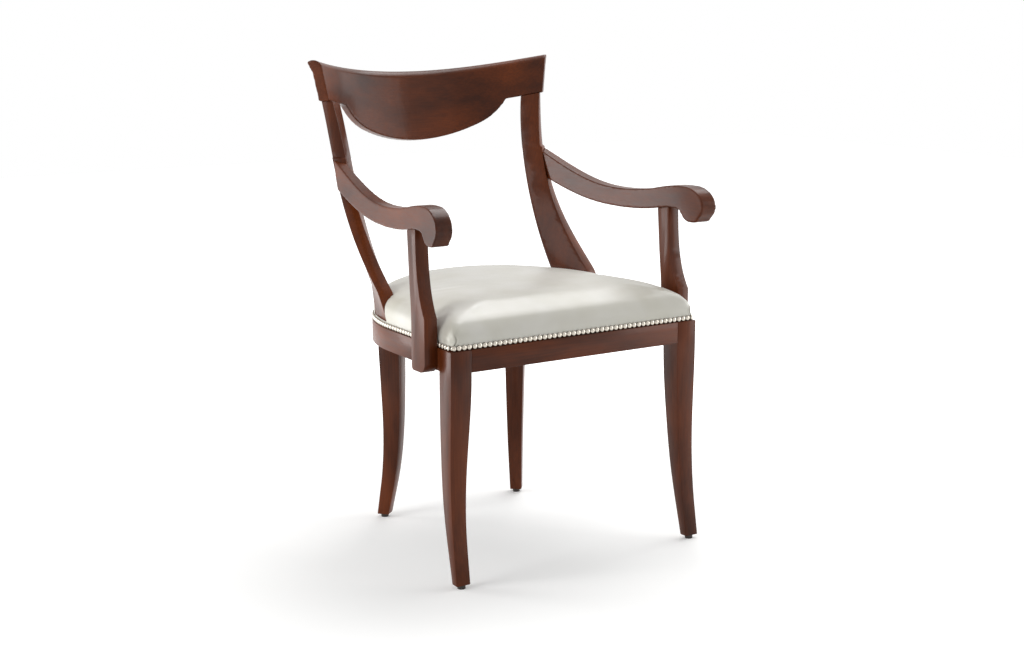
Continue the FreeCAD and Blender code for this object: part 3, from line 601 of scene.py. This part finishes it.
# The leather is cut close round each stile, and nothing of it is left outside the stile's outer face
for side, outward in (("right", 1), ("left", -1)):
    for push in stile_room_pushes:
        room = nodes["back_stile_" + side].copy()
        room.data = room.data.copy()
        bpy.context.scene.collection.objects.link(room)
        room.hide_viewport = False
        room.hide_set(False)
        wake(room)
        bpy.ops.object.mode_set(mode="EDIT")
        bpy.ops.mesh.select_all(action="SELECT")
        bpy.ops.mesh.remove_doubles(threshold=weld_distance)
        bpy.ops.transform.shrink_fatten(value=stile_gap)
        bpy.ops.transform.translate(value=(outward * push, 0.0, 0.0))
        bpy.ops.object.mode_set(mode="OBJECT")
        cut_away(pad, room)
bpy.ops.object.shade_smooth_by_angle(angle=math.radians(40.0))
hide = leather()
pad.data.materials.append(hide)
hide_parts("seat_cover", "seat_foam")
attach(pad, "root")


# ---- Corner folds
# At each front corner the spare leather is folded into one pleat: two lips with a narrow dark groove
# between them, which starts just above the nails, leans forward and runs out on top of the seat's edge.
fold_axis = (0.238, -0.262)
fold_foot = 0.0095
fold_height = 0.0205
fold_steps = 8
fold_start = math.radians(-45.0) + 0.12
fold_lean = 0.10
fold_fades_over = 6
lip_thickness = 0.0012
groove_depth = 0.0048

# Across each lip and the groove: how far round the corner in radians, and how far off the pad
left_lip = ((0.0, 0.0001), (0.05, 0.0006), (0.10, 0.0012), (0.14, 0.0018), (0.163, 0.0019),
            (0.168, -0.0012))
right_lip = ((0.199, -0.0012), (0.204, 0.0012), (0.222, 0.0010), (0.247, 0.0005), (0.277, 0.0001))
groove_mouth = ((0.168, 0.0030), (0.199, 0.0030))
groove_rows = (-0.6, 0.5, 1.5, 2.5, 3.5, 4.5, 5.5, 6.4)


def joined(pieces, name):
    """Loose pieces made one, under one name."""
    bpy.ops.object.select_all(action="DESELECT")
    for piece in pieces:
        piece.select_set(True)
    bpy.context.view_layer.objects.active = pieces[0]
    bpy.ops.object.join()
    whole = bpy.context.object
    whole.name = name
    return whole


def pleat(name, side):
    """The fold at one front corner, laid on the pad as it has swollen there."""
    bpy.context.view_layer.update()
    axis = Vector((side * fold_axis[0], fold_axis[1], 0.0))
    well_outside = 0.1

    def skin(row, turned, thick):
        rise = fold_foot + fold_height * row / fold_steps
        bend = fold_lean * math.sin(math.pi * row / fold_steps)
        angle = fold_start - turned - bend
        out = Vector((side * math.cos(angle), math.sin(angle), 0.0))
        begin = axis + out * well_outside + Vector((0.0, 0.0, seat_rail_top + rise))
        spot = pad.ray_cast(begin, -out)[1]
        fade = math.sin(math.pi * min(1.0, (fold_steps + 1 - row) / fold_fades_over) / 2)
        return spot + out * (thick * fade)

    def strip(strip_name, profile, rows):
        points = [skin(row, turned, thick) for row in rows for turned, thick in profile]
        faces = []
        for row in range(len(rows) - 1):
            for column in range(len(profile) - 1):
                corner = row * len(profile) + column
                loop = (corner, corner + 1, corner + len(profile) + 1, corner + len(profile))
                faces.append(loop if side < 0 else tuple(reversed(loop)))
        mesh = bpy.data.meshes.new(strip_name)
        mesh.from_pydata(points, [], faces)
        made = bpy.data.objects.new(strip_name, mesh)
        bpy.context.scene.collection.objects.link(made)
        return made

    lip_rows = range(fold_steps + 1)
    lips = [strip(name, left_lip, lip_rows), strip(name + "_other_lip", right_lip, lip_rows)]
    groove = strip("groove", groove_mouth, groove_rows)
    work(groove, "SOLIDIFY", thickness=groove_depth, offset=-1.0)
    cut_away(pad, groove)
    for lip in lips:
        work(lip, "SOLIDIFY", thickness=lip_thickness, offset=-1.0)
    fold = joined(lips, name)
    bpy.ops.object.shade_smooth_by_angle(angle=math.radians(35.0))
    fold.data.materials.append(hide)
    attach(fold, "root")


pleat("corner_pleat_right", 1)
pleat("corner_pleat_left", -1)


# ---- Decorative nails
# Nickel-plated upholstery nails with domed heads, 10.4 mm across, driven side by side all round the
# rebate. They are stamped from thin sheet, and each dome stands on a low straight rim.
nail_radius = 0.0052
nail_height = 0.0029
nail_rim = 0.0003
nail_spacing = 0.0108
nail_off_rebate = 0.0002
nail_level = seat_rail_top + nail_off_rebate + nail_radius
nail_off_leather = 0.0003
nail_turn = 1.7
nail_line_points = 2400
nail_line_reach = 6


def nickel_plate():
    """Bright nickel plate on a stamped head: warm silver, with a faint haze of fine polishing marks."""
    material, shader = new_material("nickel_plated_nail")
    place = add(material, "ShaderNodeTexCoord")
    # Marks of 1.5 mm
    haze = add(material, "ShaderNodeTexNoise", {"Scale": 1 / 0.0015, "Detail": 2.0},
               {"Vector": place.outputs["Object"]})
    tone = add(material, "ShaderNodeValToRGB", links={"Fac": haze.outputs["Fac"]})
    tone.color_ramp.elements[0].color = linear("9C958A")
    tone.color_ramp.elements[1].color = linear("D2CBC0")
    shine = add(material, "ShaderNodeMapRange", {"To Min": 0.16, "To Max": 0.3},
                {"Value": haze.outputs["Fac"]})
    material.node_tree.links.new(tone.outputs["Color"], shader.inputs["Base Color"])
    material.node_tree.links.new(shine.outputs[0], shader.inputs["Roughness"])
    shader.inputs["Metallic"].default_value = 1.0
    return material


bpy.ops.object.select_all(action="DESELECT")
bpy.ops.mesh.primitive_uv_sphere_add(segments=14, ring_count=8, radius=nail_radius)
nail = bpy.context.object
bpy.ops.object.mode_set(mode="EDIT")
bpy.ops.mesh.select_all(action="SELECT")
bpy.ops.mesh.bisect(plane_co=(0, 0, 0.0001), plane_no=(0, 0, 1), clear_inner=True, use_fill=True)
bpy.ops.mesh.select_all(action="SELECT")
bpy.ops.transform.resize(value=(1.0, 1.0, nail_height / nail_radius))
bpy.ops.mesh.select_all(action="DESELECT")
bpy.ops.object.mode_set(mode="OBJECT")
for polygon in nail.data.polygons:
    polygon.select = polygon.normal.z < -nearly_facing
bpy.ops.object.mode_set(mode="EDIT")
bpy.ops.mesh.extrude_region_move(TRANSFORM_OT_translate={"value": (0, 0, -nail_rim)})
bpy.ops.object.mode_set(mode="OBJECT")
bpy.ops.object.shade_smooth_by_angle(angle=math.radians(50.0))
nail.data.materials.append(nickel_plate())

ring = seat_line(leather_inset, seat_corner_radius, nail_line_points)
ring_length = sum(math.dist(here, after) for here, after in zip(ring, ring[1:] + ring[:1]))
nail_count = round(ring_length / nail_spacing)
heads = []
for index in range(nail_count):
    spot = round(index * len(ring) / nail_count) % len(ring)
    here = ring[spot]
    behind = ring[spot - nail_line_reach]
    ahead = ring[(spot + nail_line_reach) % len(ring)]
    along = Vector((ahead[0] - behind[0], ahead[1] - behind[1], 0.0)).normalized()
    out = Vector((along.y, -along.x, 0.0))
    up = Vector((0.0, 0.0, 1.0))
    turn = Matrix((along, up, out)).transposed().to_4x4()
    spin = Matrix.Rotation(index * nail_turn, 4, "Z")
    place = Matrix.Translation(Vector((here[0], here[1], nail_level)) + out * nail_off_leather)
    head = nail.copy()
    head.data = nail.data.copy()
    head.data.transform(place @ turn @ spin)
    bpy.context.scene.collection.objects.link(head)
    heads.append(head)
nails = joined(heads, "decorative_nails")
nails.data.name = "decorative_nails"
bpy.data.objects.remove(nail)
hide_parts("nail_trim")
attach(nails, "root")


# ---- Dust cover
# A thin black non-woven cloth, stretched under the rails and stapled, to hide the webbing and catch dust.
# It is cut round the legs.

def non_woven():
    """Non-woven polypropylene: matt black with a fine speckle where its fibres are pressed together."""
    material, shader = new_material("black_non_woven")
    place = add(material, "ShaderNodeTexCoord")
    # Speckles 2 mm apart
    speckle = add(material, "ShaderNodeTexVoronoi", {"Scale": 1 / 0.002},
                  {"Vector": place.outputs["Object"]})
    tone = add(material, "ShaderNodeValToRGB", links={"Fac": speckle.outputs["Distance"]})
    tone.color_ramp.elements[0].color = linear("2B2B2D")
    tone.color_ramp.elements[1].color = linear("141416")
    relief = add(material, "ShaderNodeBump", {"Strength": 0.4, "Distance": 0.0003},
                 {"Height": speckle.outputs["Distance"]})
    material.node_tree.links.new(tone.outputs["Color"], shader.inputs["Base Color"])
    material.node_tree.links.new(relief.outputs["Normal"], shader.inputs["Normal"])
    shader.inputs["Roughness"].default_value = 0.9
    shader.inputs["Sheen Weight"].default_value = 0.15
    return material


dust_cloth = worked_copy("dust_cover", "dust_cover_cloth")
dust_cloth.data.materials.append(non_woven())


# ---- Staples
# Fine zinc-plated wire staples, 10 mm wide, that hold the edge of the dust cover. They are shot up into
# the rails, one every 40 mm between the legs, so that only their flat backs show.
staple_size = (0.010, 0.0012, 0.0006)
staple_spacing = 0.040
staple_inset = 0.0165
staple_leg_clearance = 0.009
staple_line_points = 1200
staple_line_reach = 2

staple_line = seat_line(staple_inset, seat_corner_radius, staple_line_points)
staple_run = sum(math.dist(here, after) for here, after in zip(staple_line, staple_line[1:]))
every = round(staple_spacing / (staple_run / (staple_line_points - 1)))
staple_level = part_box("dust_cover")[0][2] - staple_size[2] / 2
legs = [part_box(leg) for leg in ("front_leg_right", "front_leg_left", "rear_leg_right", "rear_leg_left")]
wires = []
for spot in range(0, len(staple_line), every):
    here = Vector((*staple_line[spot], staple_level))
    if any(low[0] - staple_leg_clearance < here.x < high[0] + staple_leg_clearance
           and low[1] - staple_leg_clearance < here.y < high[1] + staple_leg_clearance
           for low, high in legs):
        continue
    ahead = staple_line[(spot + staple_line_reach) % len(staple_line)]
    lie = math.atan2(ahead[1] - here.y, ahead[0] - here.x)
    bpy.ops.object.select_all(action="DESELECT")
    bpy.ops.mesh.primitive_cube_add(size=1.0)
    wire = bpy.context.object
    size = Matrix.Diagonal((*staple_size, 1.0))
    wire.data.transform(Matrix.Translation(here) @ Matrix.Rotation(lie, 4, "Z") @ size)
    wires.append(wire)
staples = joined(wires, "dust_cover_staples")
staples.data.materials.append(zinc)
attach(staples, "root")


# ---- Glides
# Dark moulded nylon discs, one knocked into the end grain of each leg. They keep the wood off the floor
# and show as a thin dark line under each foot.

def nylon():
    """Moulded nylon: near black, with the faint mottle and dull shine of a scuffed moulding."""
    material, shader = new_material("moulded_nylon")
    place = add(material, "ShaderNodeTexCoord")
    # Mottle of 3 mm
    mottle = add(material, "ShaderNodeTexNoise", {"Scale": 1 / 0.003, "Detail": 3.0},
                 {"Vector": place.outputs["Object"]})
    tone = add(material, "ShaderNodeValToRGB", links={"Fac": mottle.outputs["Fac"]})
    tone.color_ramp.elements[0].color = linear("1C1512")
    tone.color_ramp.elements[1].color = linear("33271F")
    scuff = add(material, "ShaderNodeMapRange", {"To Min": 0.35, "To Max": 0.6},
                {"Value": mottle.outputs["Fac"]})
    material.node_tree.links.new(tone.outputs["Color"], shader.inputs["Base Color"])
    material.node_tree.links.new(scuff.outputs[0], shader.inputs["Roughness"])
    return material


glide_nylon = nylon()
for name in ("front_glide_right", "front_glide_left", "rear_glide_right", "rear_glide_left"):
    nodes[name].data.materials.clear()
    nodes[name].data.materials.append(glide_nylon)


# ---- Studio
# A plain pale floor that fades to white away from the chair, a white surround and five soft lamps: one on
# each side, one behind on the left, one above and a weak one in front. The camera stands where the
# photograph was taken from.
floor_size = 14.0
glow_starts = 0.5
glow_full = 1.9
glow_near_chair = 0.2
surround_light = 0.36


def looked_at(material):
    """A node that gives 1 where the camera, a gloss or glass looks at the material, and 0 elsewhere."""
    path = add(material, "ShaderNodeLightPath")
    mirrored = add(material, "ShaderNodeMath", operation="MAXIMUM",
                   links={0: path.outputs["Is Camera Ray"], 1: path.outputs["Is Glossy Ray"]})
    return add(material, "ShaderNodeMath", operation="MAXIMUM",
               links={0: mirrored.outputs[0], 1: path.outputs["Is Transmission Ray"]})


bpy.ops.object.select_all(action="DESELECT")
bpy.ops.mesh.primitive_plane_add(size=floor_size, location=(0.0, 0.0, 0.0))
floor = bpy.context.object
floor.name = "studio_floor"
floor_paint, floor_shader = new_material("studio_floor_white")
floor_shader.inputs["Base Color"].default_value = linear("F4F4F3")
floor_shader.inputs["Roughness"].default_value = 0.85
floor_shader.inputs["Specular IOR Level"].default_value = 0.15
floor_shader.inputs["Emission Color"].default_value = linear("FFFFFF")
floor_place = add(floor_paint, "ShaderNodeTexCoord")
reach = add(floor_paint, "ShaderNodeVectorMath", links={0: floor_place.outputs["Object"]},
            operation="LENGTH")
glow = add(floor_paint, "ShaderNodeMapRange",
           {"From Min": glow_starts, "From Max": glow_full, "To Min": glow_near_chair, "To Max": 1.0},
           {"Value": reach.outputs["Value"]}, interpolation_type="SMOOTHSTEP")
shown = add(floor_paint, "ShaderNodeMath", operation="MULTIPLY",
            links={0: looked_at(floor_paint).outputs[0], 1: glow.outputs["Result"]})
floor_paint.node_tree.links.new(shown.outputs[0], floor_shader.inputs["Emission Strength"])
floor.data.materials.append(floor_paint)

world = bpy.data.worlds.new("studio_surround")
bpy.context.scene.world = world
world.use_nodes = True
strength = add(world, "ShaderNodeMapRange", {"To Min": surround_light, "To Max": 1.0},
               {"Value": looked_at(world).outputs[0]})
surround = world.node_tree.nodes["Background"]
surround.inputs["Color"].default_value = linear("FFFFFF")
world.node_tree.links.new(strength.outputs[0], surround.inputs["Strength"])


def soft_lamp(name, place, aim, size, power):
    """A rectangular soft lamp at a place, turned to its aim. size is its width and height, in metres."""
    data = bpy.data.lights.new(name, "AREA")
    data.shape = "RECTANGLE"
    data.size = size[0]
    data.size_y = size[1]
    data.energy = power
    lamp = bpy.data.objects.new(name, data)
    lamp.location = place
    lamp.rotation_mode = "QUATERNION"
    lamp.rotation_quaternion = (Vector(aim) - Vector(place)).to_track_quat("-Z", "Y")
    bpy.context.scene.collection.objects.link(lamp)


soft_lamp("left_softbox", place=(-2.6, 0.1, 1.5), aim=(0.0, 0.0, 0.5), size=(1.2, 2.0), power=30.0)
soft_lamp("right_softbox", place=(2.6, -0.9, 1.0), aim=(0.0, 0.0, 0.5), size=(2.6, 1.6), power=40.0)
soft_lamp("rear_left_softbox", place=(-2.2, 2.1, 0.6), aim=(-0.3, 0.0, 0.5), size=(1.1, 1.2), power=38.0)
soft_lamp("top_softbox", place=(1.2, 0.6, 2.7), aim=(0.0, 0.0, 0.4), size=(1.6, 1.6), power=40.0)
soft_lamp("front_fill", place=(1.2, -3.2, 1.6), aim=(0.0, 0.0, 0.5), size=(1.6, 1.6), power=3.0)

camera_data = bpy.data.cameras.new("studio_camera")
camera_data.lens = 60.49
camera_data.sensor_width = 36.0
camera_data.clip_start = 0.05
camera_data.clip_end = 60.0
camera = bpy.data.objects.new("studio_camera", camera_data)
camera.location = (-1.8345, -2.8194, 1.0567)
looks_down = 10.96
looks_right = 33.81
camera.rotation_euler = (math.radians(90.0 - looks_down), 0.0, math.radians(-looks_right))
bpy.context.scene.collection.objects.link(camera)
bpy.context.scene.camera = camera
bpy.context.scene.view_settings.view_transform = "Standard"

bpy.context.view_layer.update()
